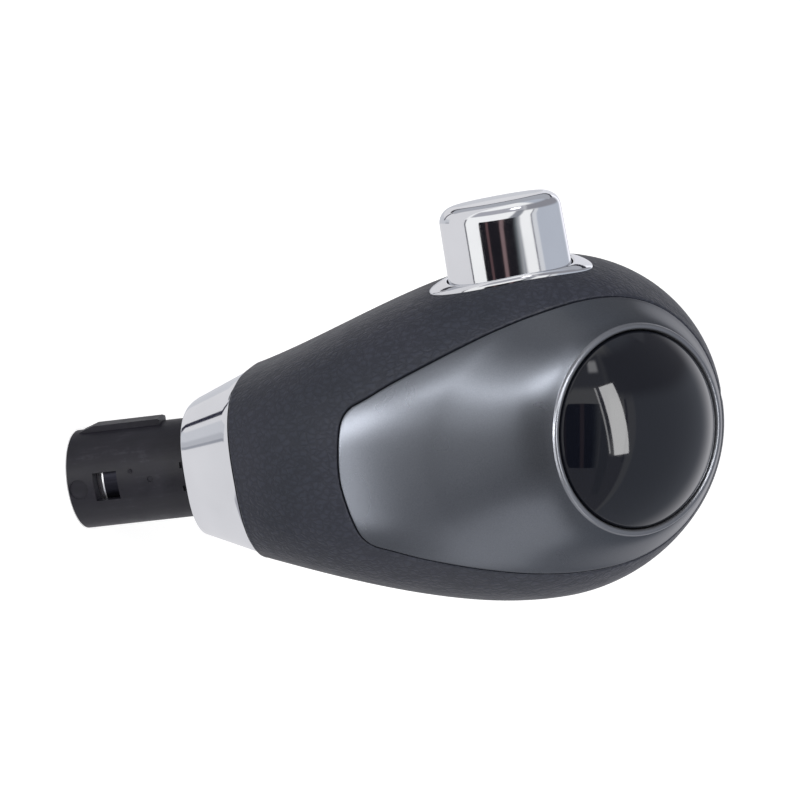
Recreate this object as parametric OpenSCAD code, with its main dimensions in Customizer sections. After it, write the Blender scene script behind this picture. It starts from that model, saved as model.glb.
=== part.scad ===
// Gear shift knob for an automatic gearbox, with a side release button.
// Origin: centre of the stem's open lower end. +Z runs up the lever, -Y is the face with
// the panel and the dome, and the button is pushed in along +X.

/* [Head form] */
// Height where the leather head starts, above the stem's lower end
neck_z = 33.2; // [30:0.1:38]
// Half width of the head at its lower end
neck_w = 15.95; // [13:0.05:18]
// Half depth of the head at its lower end
neck_d = 17.65; // [15:0.05:20]
// Shift of the lower end's centre to the back
neck_y = -0.3; // [-2:0.1:2]
// Squareness of the lower end's section
neck_n = 2.8; // [2:0.1:4]
// Drop of the head's widest place below the top
wide_drop = 28.9; // [25:0.1:34]
// Half width of the head at its widest place
head_w = 28.7; // [27:0.1:31]
// Outward slope of the sides at the neck
side_slope = 0.262; // [0.1:0.01:0.4]
// Height of the top of the head
top_z = 112.3; // [110:0.1:118]
// Drop of the place where the front is farthest out below the top
front_drop = 43.8; // [38:0.1:48]
// How far the front stands before the lever axis
front_d = 26.4; // [25:0.1:29]
// Outward slope of the front at the neck
front_slope = 0.612; // [0.3:0.01:0.7]
// Drop of the place where the back is farthest out below the top
back_drop = 22.4; // [18:0.1:28]
// How far the back stands behind the lever axis
back_d = 26.5; // [25:0.1:29]
// Outward slope of the back at the neck
back_slope = 0.11; // [0:0.01:0.3]
// Where the top of the head lies behind the lever axis
pole_y = 5.57; // [3:0.1:8]
// Squareness of the section at the widest place
head_n = 2.33; // [2:0.01:3]

/* [Cover and core] */
// Thickness of the leather and of the front panel
cover_t = 1.4; // [1:0.1:1.8]
// Depth of the core's surface below the head form
core_out = 1.6; // [1.5:0.05:2]
// Depth of the core's inner surface below the head form
core_in = 3.9; // [3.6:0.1:4.4]
// Open line between the panel and the leather
seam_gap = 0.3; // [0.2:0.05:0.5]
// Radius of the two core screws' shank
screw_r = 1.5; // [1.2:0.1:1.6]
// Drop of the core screws below the stem's flange
screw_drop = 6.5; // [6:0.1:7]
// Distance of a core screw from the middle plane
screw_x = 11.8; // [11.7:0.1:12]

/* [Stem] */
// Outer diameter of the plastic stem
stem_od = 17; // [16.6:0.1:17]
// Bore of the steel sleeve that takes the lever
lever_d = 12; // [11.6:0.1:12.2]
// Wall of that sleeve
sleeve_t = 0.77; // [0.7:0.01:0.9]
// Height where the sleeve starts inside the stem
sleeve_z = 5.1; // [4.9:0.1:6]
// Distance from the shoulder that the lever's end meets up to the plunger head
spring_room = 22; // [21:0.1:23]
// Thickness of that shoulder
shoulder_t = 3; // [2.6:0.1:3.2]
// Drop of the stem's flange, which carries the button guide, below the slider's axis
flange_drop = 15.6; // [15.4:0.1:16]
// Height of the key rib over the stem's skin
rib_h = 0.85; // [0.6:0.05:1.4]
// Width of the key rib
rib_w = 3.4; // [3:0.1:4]
// Lower edge of the window in the stem
window_z = 4.7; // [4.5:0.1:4.9]
// Height of the window
window_h = 4.4; // [4:0.1:5]
// Width of the window
window_w = 4.9; // [4.5:0.1:5.4]

/* [Collar] */
// Height of the chrome collar
collar_h = 10.7; // [9:0.1:12]
// Half width of the collar's lower rim
collar_w = 11.27; // [11:0.05:12]
// Half depth of the collar's lower rim
collar_d = 11.94; // [11.5:0.05:12.5]
// Squareness of the collar's lower rim
collar_n = 2.67; // [2.3:0.1:3.2]
// How far the leather's end stands proud of the collar
collar_step = 0.45; // [0.3:0.05:0.8]

/* [Panel and dome] */
// Elevation of the direction that the panel is pressed on from
panel_elev = 30; // [28:1:32]
// Elevation of the dome's axis over the horizontal
dome_elev = 51.9; // [50:0.1:54]
// Depth of the dome's base centre behind the head's front
dome_in = 3.95; // [3.5:0.05:5]
// Drop of the dome's base centre below the top of the head
dome_drop = 10.25; // [9.5:0.05:11.5]
// Radius of the dome at its edge
dome_r = 16.4; // [16:0.1:16.8]
// Height of the dome over its edge
dome_h = 6.9; // [6:0.1:8]
// Width of the panel's raised lip around the dome
lip_w = 1.15; // [0.9:0.05:1.5]
// Rise of the panel to the lip, over the head form, at the lip's lower side
rise_low = 3.6; // [2.5:0.1:4]
// Rise of the panel to the lip at the sides
rise_side = 1.6; // [1:0.1:2]
// Rise of the panel to the lip at the top
rise_top = 1; // [0.4:0.1:1.4]
// How far the rise reaches out at the lower side
reach_low = 14; // [8:0.5:18]
// How far the rise reaches out at the sides
reach_side = 4.5; // [3:0.5:8]
// Distance from the head's lower end to the panel's, along the panel
panel_low = 14.2; // [12:0.1:16]

/* [Button] */
// Drop of the button's axis below the top of the head
btn_drop = 29.8; // [29:0.1:31]
// Button axis before the lever axis
btn_y = -3; // [-3.4:0.1:-2]
// Lean of the button's long side from the vertical
btn_tilt = 22; // [16:1:24]
// Half length of the button
btn_a = 10.5; // [10.2:0.1:10.8]
// Half width of the button
btn_b = 6.3; // [6:0.1:6.6]
// Distance of the button's face from the lever axis
btn_face = 40.2; // [39.5:0.1:41]
// Rounding of the button's face edge
btn_round = 2.8; // [2:0.1:3.2]
// Squareness of the button's section
btn_n = 2.3; // [2.1:0.1:2.6]
// Drop of the slider's axis below the top of the head
bar_drop = 30.7; // [30:0.1:32]
// Slider's axis before the lever axis, where the core's halves meet too
bar_y = -1.1; // [-1.3:0.1:-0.9]
// Travel of the button
travel = 6; // [5:0.1:6]
// Half length of the trim ring's outline
ring_a = 14.1; // [13.6:0.1:14.4]
// Half width of the trim ring's outline
ring_b = 9; // [8.8:0.1:9.4]
// How far the trim ring stands proud of the leather
ring_up = 0.75; // [0.4:0.05:1]

/* [Hidden] */
$fn = 64;
e = 0.01;
// points around the head form, and rings along it
form_pts = 36;
form_rings = 20;
panel_pts = 44;
panel_rings = 18;
panel_z = neck_z + 12;
core_pts = 28;
core_rings = 13;
// clearances
slip = 0.3;
fit = 0.05;
// head form
wide_z = top_z - wide_drop;
front_z = top_z - front_drop;
back_z = top_z - back_drop;
btn_z = top_z - btn_drop;
bar_z = top_z - bar_drop;
// stem
flange_z = bar_z - flange_drop;
flange_t = 3;
head_low = flange_z - 10;
shoulder_z = head_low - spring_room;
stem_r = stem_od / 2;
lever_r = lever_d / 2;
sleeve_r = lever_r + sleeve_t;
stem_id = 2 * (sleeve_r + 0.03);
shoulder_top = shoulder_z + shoulder_t;
bead_z = neck_z + (flange_z - neck_z) / 3;
bead_t = 2.5;
bead_r = stem_r + 2.5;
rib_top = 15.7;
collar_z = neck_z - collar_h;
// plunger
head_r = 5;
head_bore = head_r + slip;
rod_r = 2.5;
rod_z = shoulder_z + 2;
bush_r = rod_r + 1.2;
// slider, guide and ramp
slide_y = 5;
slide_z = 6;
slide_end = 6;
slide_low = bar_z - slide_z;
wedge_low = flange_z + 1;
ramp_0 = bar_z - 9;
ramp_gap = 0.25;
guide_w = 2.4;
guide_open = -17.5;
guide_end = slide_end + travel + 1;
bar_end = -guide_open - slip;
chan_y = slide_y + slip;
chan_z = slide_z + slip;
tongue_t = 1.2;
tongue_x0 = -11;
tongue_x1 = 3;
cap_low = -guide_open + travel + slip;
ring_n = btn_n - 0.2;
foot_x = 17;
foot_y = 5.5;
foot_t = 2;
foot_screw_x = 14.6;
// springs
coil_steps = 10;
coil_sides = 6;
btn_pocket = -9;
btn_coil_r = 3;
btn_wire = 0.4;
plunger_coil_r = 4;
plunger_wire = 0.45;
damper_r = chan_y - 0.1;
// dome and its seat
dome_gap = 0.2;
open_r = dome_r + dome_gap;
lip_r = open_r + lip_w;
dome_ball = (dome_r * dome_r + dome_h * dome_h) / (2 * dome_h);
seat_h = 2.3;
skirt_h = 6;
rim_r = dome_r + 1;
skirt_r = rim_r + 0.3 + 1.5;
flare_h = 3;
// core screws
screw_z = flange_z - screw_drop;
boss_r = screw_r + 1.7;
screw_cap_r = screw_r + 1.1;
screw_cap_t = 1.7;

function sgn_pow(v, k) = sign(v) * pow(abs(v), k);
function squircle(a, b, n, count) =
  [for (i = [0:count - 1]) let (t = 360 * i / count)
    [a * sgn_pow(cos(t), 2 / n), b * sgn_pow(sin(t), 2 / n)]];
function step01(z, z0, z1) = min(1, max(0, (z - z0) / (z1 - z0)));
function cubic(z, z0, z1, v0, v1, m) =
  let (t = step01(z, z0, z1))
  (2 * pow(t, 3) - 3 * t * t + 1) * v0
  + (pow(t, 3) - 2 * t * t + t) * (z1 - z0) * m
  + (3 * t * t - 2 * pow(t, 3)) * v1;
function fall(z, z0, z1) = sqrt(max(0, 1 - pow(max(0, z - z0) / (z1 - z0), 2)));

// the head form, moved in by t: half width, front, back and squareness at height z
function wide_at(z, t) = z < wide_z
  ? cubic(z, neck_z, wide_z, neck_w - t, head_w - t, side_slope)
  : (head_w - t) * fall(z, wide_z, top_z - t);
function front_at(z, t) = z < front_z
  ? cubic(z, neck_z, front_z, neck_y - neck_d + t, t - front_d, -front_slope)
  : pole_y + (t - front_d - pole_y) * fall(z, front_z, top_z - t);
function back_at(z, t) = z < back_z
  ? cubic(z, neck_z, back_z, neck_y + neck_d - t, back_d - t, back_slope)
  : pole_y + (back_d - t - pole_y) * fall(z, back_z, top_z - t);
function n_at(z) = neck_n + (head_n - neck_n) * step01(z, neck_z, wide_z);
// the form's front at x, and its half width at y, at height z
function front_skin(x, z, t) =
  let (f = front_at(z, t), b = back_at(z, t))
  (f + b) / 2 - (b - f) / 2 * pow(1 - pow(abs(x) / wide_at(z, t), n_at(z)), 1 / n_at(z));
function side_skin(y, z, t) =
  let (f = front_at(z, t), b = back_at(z, t))
  wide_at(z, t) * pow(max(0, 1 - pow(abs(2 * y - f - b) / (b - f), n_at(z))), 1 / n_at(z));
function form_ring(z, t, count) =
  let (f = front_at(z, t), b = back_at(z, t))
  [for (p = squircle(wide_at(z, t), (b - f) / 2, n_at(z), count))
    [p[0], (f + b) / 2 + p[1], z]];
function form_heights(t, z0, count) =
  [for (i = [0:count]) z0 + (top_z - t - z0) * sin(88 * i / count)];

// a closed skin over rings of points, with flat ends
module skin(rings) {
  n = len(rings[0]);
  m = len(rings);
  polyhedron(
    points = [for (r = rings) each r],
    faces = concat(
      [[for (j = [0:n - 1]) j]],
      [for (i = [0:m - 2], j = [0:n - 1])
        each [[i * n + j, (i + 1) * n + j, (i + 1) * n + (j + 1) % n],
              [i * n + j, (i + 1) * n + (j + 1) % n, i * n + (j + 1) % n]]],
      [[for (j = [n - 1:-1:0]) (m - 1) * n + j]]));
}
module form_solid(t, z0, pts, rings) {
  skin([for (z = form_heights(t, z0, rings)) form_ring(z, t, pts)]);
}
// wall between two depths below the form, open at its lower end
module form_wall(t0, t1, z0, pts, rings) {
  out_z = form_heights(t0, z0, rings);
  in_z = form_heights(t1, z0, rings);
  skin(concat(
    [for (i = [rings:-1:0]) form_ring(in_z[i], t1, pts)],
    [for (i = [0:rings]) form_ring(out_z[i], t0, pts)]));
}

// the dome sits on the form's front, and the panel rises to its lip
dome_z = top_z - dome_drop;
dome_y = front_at(dome_z, 0) + dome_in;
dome_c = [0, dome_y, dome_z];
dome_n = [0, -cos(dome_elev), sin(dome_elev)];
dome_up = [0, sin(dome_elev), cos(dome_elev)];
function risen(p) =
  let (d = p - dome_c, q = d - (d * dome_n) * dome_n, r = max(e, norm(q)),
       s = -(q * dome_up) / r,
       rise = rise_side + ((s > 0 ? rise_low : rise_top) - rise_side) * s * s,
       reach = reach_side + (s > 0 ? (reach_low - reach_side) * s * s : reach_side * s / 2),
       k = step01(r, lip_r, lip_r + reach))
  p + dome_n * rise * (1 - k * k * (3 - 2 * k));
module dome_frame() translate(dome_c) rotate([90 - dome_elev, 0, 0]) children();
// local Z points out through the button's face, local X up along its long side
module button_frame() translate([0, btn_y, btn_z]) rotate([-btn_tilt, 0, 0])
  rotate([0, -90, 0]) children();
module column(a, b, n, z0, z1) translate([0, 0, z0]) linear_extrude(z1 - z0)
  polygon(squircle(a, b, n, 44));

// outline of the panel, seen along the direction it is pressed on from: place along the
// face, which is stretched to reach from the neck to the dome's lip, and half width
outline = [[34, 0], [34.35, 4], [35.2, 8], [36.1, 10.2], [37.6, 11.8], [40, 12.9],
  [44, 14.75], [50, 17.05], [56, 19.05], [62, 20.7], [68, 21.85], [74, 22.45], [78, 22.5],
  [82, 22.1], [86, 21.1], [90, 19.3], [93.5, 16.8], [96.5, 13.5], [98.7, 9.7],
  [100.1, 5.2], [100.6, 0]];
function on_face(y, z) = y * sin(panel_elev) + z * cos(panel_elev);
panel_from = on_face(neck_y - neck_d, neck_z) + panel_low;
panel_to = on_face(dome_y, dome_z) + lip_r;
module panel_prism(grow) {
  first = outline[0][0];
  span = outline[len(outline) - 1][0] - first;
  mid = [(panel_from + panel_to) / 2, 0];
  half = [for (o = outline)
    let (p = [panel_from + (panel_to - panel_from) * (o[0] - first) / span, o[1]])
    let (d = p - mid, g = norm(d)) mid + d * (g + grow) / g];
  pts = concat(
    [for (p = half) [p[1], p[0]]],
    [for (i = [len(half) - 2:-1:1]) [-half[i][1], half[i][0]]]);
  rotate([90 - panel_elev, 0, 0]) translate([0, 0, 38]) linear_extrude(50) polygon(pts);
}

module stem_housing() {
  color("#23242a")
  difference() {
    union() {
      rotate_extrude() polygon([[0, 0], [stem_r - 0.15, 0], [stem_r, 0.15],
        [stem_r, bead_z], [bead_r, bead_z], [bead_r, bead_z + bead_t],
        [stem_r, bead_z + bead_t], [stem_r, flange_z], [0, flange_z]]);
      translate([0, 0, flange_z - flange_t]) linear_extrude(flange_t) foot_shape();
      // key rib with its lead-in ramp
      translate([0, rib_w / 2, 0]) rotate([90, 0, 0]) linear_extrude(rib_w)
        polygon([[0.6 - stem_r, 1.4], [-stem_r, 1.4], [-stem_r - rib_h, 4],
          [-stem_r - rib_h, rib_top], [-stem_r - rib_h + 0.2, rib_top + 0.5],
          [0.6 - stem_r, rib_top + 0.5]]);
      // small ejector bump
      translate([-2.2, 0.6 - stem_r, 11.6]) rotate([90, 0, 0]) cylinder(r = 0.35, h = 0.6);
    }
    translate([0, 0, -e]) cylinder(d = lever_d, h = shoulder_z);
    translate([0, 0, sleeve_z - 0.2]) cylinder(d = stem_id, h = shoulder_z - sleeve_z + 0.2);
    cylinder(r = bush_r + fit, h = flange_z);
    translate([0, 0, shoulder_top]) cylinder(r = head_bore, h = flange_z);
    // window to the sleeve
    translate([-window_w / 2, -stem_r - 1, window_z]) cube([window_w, stem_r, window_h]);
    // dimple near the mouth, and gate mark
    translate([0.05, 0.35 - stem_r, 1.9]) rotate([90, 0, 0]) cylinder(r = 1.7, h = 2);
    translate([-0.45, 0.2 - stem_r, 15.05]) rotate([90, 0, 0]) cylinder(r = 0.55, h = 2);
    // latch pockets under the collar's edge, front and back
    for (s = [-1, 1], x = [-2.2, 1.85])
      translate([x - 0.5, s > 0 ? stem_r - 0.8 : -stem_r - 0.2, 20.6]) cube([1, 1, 4.4]);
    for (s = [-1, 1]) translate([s * foot_screw_x, 0, flange_z - flange_t - e])
      cylinder(r = 1.05, h = flange_t + 1);
  }
}
module foot_shape() {
  square([2 * (foot_x - foot_y), 2 * foot_y], center = true);
  for (s = [-1, 1]) translate([s * (foot_x - foot_y), 0]) circle(foot_y);
}

module lever_sleeve() {
  color("#b9bcc2")
  rotate_extrude() polygon([[lever_r, sleeve_z], [sleeve_r - 0.45, sleeve_z],
    [sleeve_r, sleeve_z + 0.7], [sleeve_r, shoulder_z], [lever_r, shoulder_z]]);
}

module rod_bush() {
  color("#c9a24a")
  rotate_extrude() polygon([[rod_r + 0.1, shoulder_z], [bush_r, shoulder_z],
    [bush_r, shoulder_top], [head_bore - 0.1, shoulder_top],
    [head_bore - 0.1, shoulder_top + 1], [rod_r + 0.1, shoulder_top + 1]]);
}

// collar ring at height z, moved in by t
function collar_ring(z, t) =
  let (k = (z - collar_z) / (neck_z - collar_z),
       w = collar_w + (neck_w - collar_step - collar_w) * k,
       d = collar_d + (neck_d - collar_step - collar_d) * k,
       n = collar_n + (neck_n - collar_n) * k)
  [for (p = squircle(w - t, d - t, n, 44)) [p[0], p[1] + neck_y * k, z]];
module neck_collar() {
  top = neck_z - 0.2;
  floor_z = collar_z + 1.6;
  color("#d5d7da")
  difference() {
    skin([collar_ring(floor_z, 1.8), collar_ring(top, 1.8), collar_ring(top, 0.5),
      collar_ring(top - 0.15, 0.15), collar_ring(top - 0.5, 0), collar_ring(collar_z + 0.3, 0),
      collar_ring(collar_z + 0.1, 0.08), collar_ring(collar_z, 0.25)]);
    translate([0, 0, collar_z - 1]) cylinder(r = stem_r + fit, h = 4);
  }
}

// core shells: moulded halves that meet on the button's plane
module core_half(front) {
  keep_y = front ? bar_y - 100 : bar_y;
  difference() {
    union() {
      intersection() {
        form_wall(core_out, core_in, neck_z, core_pts, core_rings);
        translate([-50, keep_y, 0]) cube([100, 100, 150]);
      }
      // webs that hold the stem's bead
      for (z = [bead_z - 2.7, bead_z + bead_t + 0.2]) intersection() {
        translate([0, (front_at(z, 0) + back_at(z, 0)) / 2, z]) linear_extrude(2.5)
          polygon(squircle(wide_at(z, 2.7), (back_at(z, 2.7) - front_at(z, 2.7)) / 2,
            n_at(z), 28));
        translate([-50, keep_y, 0]) cube([100, 100, 150]);
      }
      for (s = [-1, 1]) translate([s * screw_x, bar_y, screw_z]) rotate([front ? 90 : -90, 0, 0])
        cylinder(r = boss_r, h = front ? bar_y - boss_front : boss_back - bar_y);
    }
    cylinder(r = stem_r + fit, h = flange_z - 6);
    for (s = [-1, 1]) translate([s * screw_x, 0, screw_z]) {
      translate([0, screw_end + 2, 0]) rotate([90, 0, 0])
        cylinder(r = screw_r + fit, h = screw_end + 2 - boss_front);
      translate([0, screw_head, 0]) rotate([90, 0, 0]) cylinder(r = screw_cap_r + 0.15, h = 10);
    }
    // way through for the trim ring and the button
    button_frame() column(ring_a + 0.15, ring_b + 0.15, ring_n, 15, 45);
    // well for the dome and the panel's skirt
    dome_frame() rotate_extrude() polygon([[0, -skirt_h - 1.8], [skirt_r + 0.3, -skirt_h - 1.8],
      [skirt_r + 0.3, 0.4 - flare_h], [lip_r + 0.5, 0.5], [lip_r + 0.5, 12], [0, 12]]);
    if (front) for (p = panel_pins)
      translate([p[0], -10, p[1]]) rotate([90, 0, 0]) cylinder(r = pin_r + 0.2, h = 25);
  }
}
// the screws' bosses end below the form, and the heads sink into them
boss_front = front_skin(screw_x + boss_r, screw_z, core_out) + 0.15;
boss_back = back_at(screw_z, core_in) - 3.6;
screw_head = boss_front + 0.3 + screw_cap_t;
screw_end = boss_back - 7;
// the panel's pins: x, z
pin_r = 1.5;
panel_rise = dome_z - panel_z;
panel_pins = [[0, panel_z + 0.205 * panel_rise], [16.5, panel_z + 0.56 * panel_rise],
  [-16.5, panel_z + 0.56 * panel_rise]];
module core_front() color("#303238") core_half(true);
module core_back() color("#34363c") core_half(false);

module leather_cover() {
  color("#2b2e35")
  difference() {
    form_wall(0, cover_t, neck_z, form_pts, form_rings);
    panel_prism(seam_gap);
    button_frame() column(ring_a + 0.1, ring_b + 0.1, ring_n, 15, 45);
  }
}

module front_panel() {
  out_z = form_heights(0, panel_z, panel_rings);
  in_z = form_heights(cover_t, panel_z, panel_rings);
  // the last ring closes the skin, so it stays flat
  function panel_ring(z, t, i) =
    [for (p = form_ring(z[i], t, panel_pts)) i == panel_rings ? p : risen(p)];
  color("#5d6168")
  difference() {
    union() {
      intersection() {
        skin(concat(
          [for (i = [panel_rings:-1:0]) panel_ring(in_z, cover_t, i)],
          [for (i = [0:panel_rings]) panel_ring(out_z, 0, i)]));
        panel_prism(0);
      }
      intersection() {
        dome_frame() rotate_extrude() polygon([[open_r, 0], [lip_r - 0.25, 0],
          [lip_r, -0.25], [skirt_r, -flare_h], [skirt_r, -skirt_h],
          [rim_r + 0.3, -skirt_h], [rim_r + 0.3, -seat_h], [open_r, -seat_h]]);
        panel_prism(0);
      }
      for (p = panel_pins)
        translate([p[0], front_skin(p[0], p[1], cover_t / 2) + 6, p[1]]) rotate([90, 0, 0])
          cylinder(r = pin_r, h = 6);
    }
    dome_frame() {
      translate([0, 0, -seat_h - e]) cylinder(r = open_r, h = 20);
      translate([0, 0, -skirt_h - 6]) cylinder(r = rim_r + 0.3, h = skirt_h + 6 - seat_h);
    }
  }
}

module dome_cap() {
  color("#0b0b0d")
  dome_frame() difference() {
    union() {
      intersection() {
        translate([0, 0, dome_h - dome_ball]) sphere(dome_ball);
        cylinder(r = dome_r, h = dome_h + 1);
      }
      translate([0, 0, -seat_h]) cylinder(r = dome_r, h = seat_h + e);
      translate([0, 0, -seat_h - 1.5]) cylinder(r = rim_r, h = 1.5);
    }
    intersection() {
      translate([0, 0, dome_h - dome_ball]) sphere(dome_ball - 2);
      translate([0, 0, -seat_h - 2]) cylinder(r = dome_r - 2, h = 20);
    }
  }
}

module dome_backing() {
  color("#1a1b1e")
  dome_frame() difference() {
    union() {
      translate([0, 0, -skirt_h - 1.5]) cylinder(r = skirt_r - 0.1, h = 1.5);
      translate([0, 0, -skirt_h - e]) cylinder(r = rim_r, h = skirt_h - seat_h - 1.5);
    }
    translate([0, 0, -skirt_h]) cylinder(r = rim_r - 2.4, h = 10);
  }
}

// the ring's flange lies under the core's inner side, and its lowest point sets the depth
flange_w = 1.3;
flange_line = [for (p = squircle(ring_a + flange_w, ring_b + flange_w, ring_n, 44))
  [btn_y + p[1] * cos(btn_tilt) + p[0] * sin(btn_tilt),
   btn_z - p[1] * sin(btn_tilt) + p[0] * cos(btn_tilt)]];
ring_low = max(slip - guide_open,
  min([for (p = flange_line) side_skin(p[0], p[1], core_in + 0.1)]) - 1.2);
module button_bezel() {
  color("#d9dadd")
  difference() {
    union() {
      intersection() {
        form_solid(-ring_up, btn_z - ring_a - 6, 32, 9);
        button_frame() column(ring_a, ring_b, ring_n, ring_low, 45);
      }
      intersection() {
        form_solid(core_in + 0.1, neck_z, core_pts, core_rings);
        button_frame() column(ring_a + flange_w, ring_b + flange_w, ring_n, ring_low, 45);
      }
    }
    button_frame() column(btn_a + slip, btn_b + slip, btn_n, 15, 45);
  }
}

function cap_ring(z, t) =
  [for (p = squircle(btn_a - t - (z - cap_low) * 0.015, btn_b - t - (z - cap_low) * 0.015,
    btn_n, 44)) [p[0], p[1], z]];
module button_cap() {
  top = btn_face - btn_round;
  color("#e2e3e6")
  button_frame() skin(concat(
    [cap_ring(btn_face - 1.9, 3), cap_ring(btn_face - 2.6, 1.7), cap_ring(cap_low, 1.6),
      cap_ring(cap_low, 0.1), cap_ring(cap_low + 0.4, 0)],
    [for (i = [0:5]) cap_ring(top + btn_round * sin(15 * i), btn_round * (1 - cos(15 * i)))],
    [cap_ring(btn_face, btn_round)]));
}

module button_slider() {
  color("#1d1e22")
  difference() {
    union() {
      // plug inside the cap
      button_frame() column(btn_a - 2.2, btn_b - 2.2, btn_n, cap_low + 0.05, btn_face - 2.8);
      // neck through the trim ring, which lies in the plug's outline and in the bar's
      intersection() {
        button_frame() column(btn_a - 2.2, btn_b - 2.2, btn_n, bar_end - 1, cap_low + 1);
        translate([-cap_low - 1, bar_y - slide_y + slip, bar_z - slide_z + slip])
          cube([cap_low + 2 - bar_end, 2 * (slide_y - slip), 2 * (slide_z - slip)]);
      }
      translate([-bar_end, bar_y - slide_y, bar_z - slide_z])
        cube([bar_end + slide_end, 2 * slide_y, 2 * slide_z]);
      // 45 degree ramp that drives the plunger down
      translate([0, 3.4, 0]) rotate([90, 0, 0]) linear_extrude(6.8)
        polygon([[-9, slide_low + 1], [-9, wedge_low], [wedge_low - ramp_0, wedge_low],
          [slide_low - ramp_0, slide_low], [slide_low - ramp_0, slide_low + 1]]);
      // guide tongues, which are also the end stops
      translate([tongue_x0, bar_y - slide_y - tongue_t, bar_z - 1])
        cube([tongue_x1 - tongue_x0, 2 * (slide_y + tongue_t), 2]);
    }
    // pocket of the return spring
    translate([btn_pocket, bar_y, bar_z]) rotate([0, 90, 0]) cylinder(r = btn_coil_r + 0.8, h = 40);
  }
}

module button_guide() {
  y0 = bar_y - chan_y - guide_w;
  z0 = bar_z - chan_z - guide_w;
  color("#3a3c42")
  difference() {
    union() {
      translate([guide_open, y0, z0])
        cube([guide_end - guide_open + 2, 2 * (chan_y + guide_w), 2 * (chan_z + guide_w)]);
      // leg down to the stem's flange
      translate([-12.6, y0, flange_z]) cube([25.2, 2 * (chan_y + guide_w), z0 - flange_z + 1]);
      translate([0, 0, flange_z]) linear_extrude(foot_t) foot_shape();
    }
    translate([guide_open - 1, bar_y - chan_y, bar_z - chan_z])
      cube([guide_end - guide_open + 1, 2 * chan_y, 2 * chan_z]);
    // room for the ramp and the plunger head
    translate([-10.2, -head_bore, flange_z - 1]) cube([20.4, 2 * head_bore, 12]);
    // grooves of the tongues
    translate([tongue_x0 - 0.2, bar_y - chan_y - tongue_t, bar_z - 1.2])
      cube([tongue_x1 - tongue_x0 + travel + 0.4, 2 * (chan_y + tongue_t), 2.4]);
    for (s = [-1, 1]) translate([s * foot_screw_x, 0, flange_z - 1]) cylinder(r = 1.3, h = 6);
  }
}

module guide_screws() {
  color("#8d9096")
  for (s = [-1, 1]) translate([s * foot_screw_x, 0, 0]) {
    translate([0, 0, flange_z - flange_t]) cylinder(r = 1, h = flange_t + foot_t);
    translate([0, 0, flange_z + foot_t]) cylinder(r = 1.8, h = 1.2);
  }
}

module core_screws() {
  color("#8d9096")
  for (s = [-1, 1]) translate([s * screw_x, 0, screw_z]) {
    translate([0, screw_end, 0]) rotate([90, 0, 0])
      cylinder(r = screw_r, h = screw_end - screw_head + e);
    difference() {
      translate([0, screw_head, 0]) rotate([90, 0, 0]) cylinder(r = screw_cap_r, h = screw_cap_t);
      translate([0, screw_head - 0.7, 0]) rotate([90, 0, 0]) cylinder(r = 1, h = 4, $fn = 6);
    }
  }
}

module button_damper() {
  color("#2a2a2a")
  translate([guide_end - 0.8, bar_y, bar_z]) rotate([0, 90, 0]) difference() {
    cylinder(r = damper_r, h = 0.8);
    translate([0, 0, -1]) cylinder(r = btn_coil_r + 0.6, h = 3);
  }
}

module plunger_head() {
  color("#e9e6dd")
  difference() {
    translate([0, 0, head_low]) cylinder(r = head_r, h = slide_low - 0.4 - head_low);
    // ramp face, parallel to the slider's
    translate([0, 10, 0]) rotate([90, 0, 0]) linear_extrude(20)
      polygon([[-8, ramp_0 - ramp_gap - 8], [8, ramp_0 - ramp_gap + 8], [-8, ramp_0 + 12]]);
    translate([0, 0, head_low - e]) cylinder(r = rod_r + fit, h = 7);
  }
}

module plunger_rod() {
  color("#a9acb2")
  rotate_extrude() polygon([[0, rod_z], [rod_r - 0.6, rod_z], [rod_r, rod_z + 0.6],
    [rod_r, head_low + 6.8], [0, head_low + 6.8]]);
}

module spring_washer() {
  color("#b4b6bb")
  translate([0, 0, head_low - 0.9]) difference() {
    cylinder(r = head_r - 0.2, h = 0.8);
    translate([0, 0, -1]) cylinder(r = rod_r + 0.1, h = 3);
  }
}

// coil of round wire between heights 0 and h, with level ends
module coil(r, wire, h, turns) {
  steps = turns * coil_steps;
  rise = h - 2 * wire;
  skin([for (i = [0:steps])
    let (a = 360 * i / coil_steps,
         z = wire + rise * step01(i, coil_steps * 0.7, steps - coil_steps * 0.7))
    [for (j = [0:coil_sides - 1]) let (q = -360 * j / coil_sides)
      [(r + wire * cos(q)) * cos(a), (r + wire * cos(q)) * sin(a), z + wire * sin(q)]]]);
}
module plunger_spring() {
  low = shoulder_top + 1;
  color("#c3c5ca")
  translate([0, 0, low + 0.05])
    coil(plunger_coil_r, plunger_wire, head_low - 1 - low - 0.1, 7);
}
module button_spring() {
  color("#c3c5ca")
  translate([btn_pocket + 0.05, bar_y, bar_z]) rotate([0, 90, 0])
    coil(btn_coil_r, btn_wire, guide_end - btn_pocket - 0.1, 8);
}

stem_housing();
lever_sleeve();
neck_collar();
core_front();
core_back();
leather_cover();
front_panel();
dome_cap();
dome_backing();
button_bezel();
button_guide();
guide_screws();
core_screws();
button_damper();
rod_bush();
button_cap();
button_slider();
button_spring();
plunger_head();
plunger_rod();
plunger_spring();
spring_washer();
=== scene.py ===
import math

import bmesh
import bpy
import numpy as np
from mathutils import Matrix, Vector


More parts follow.
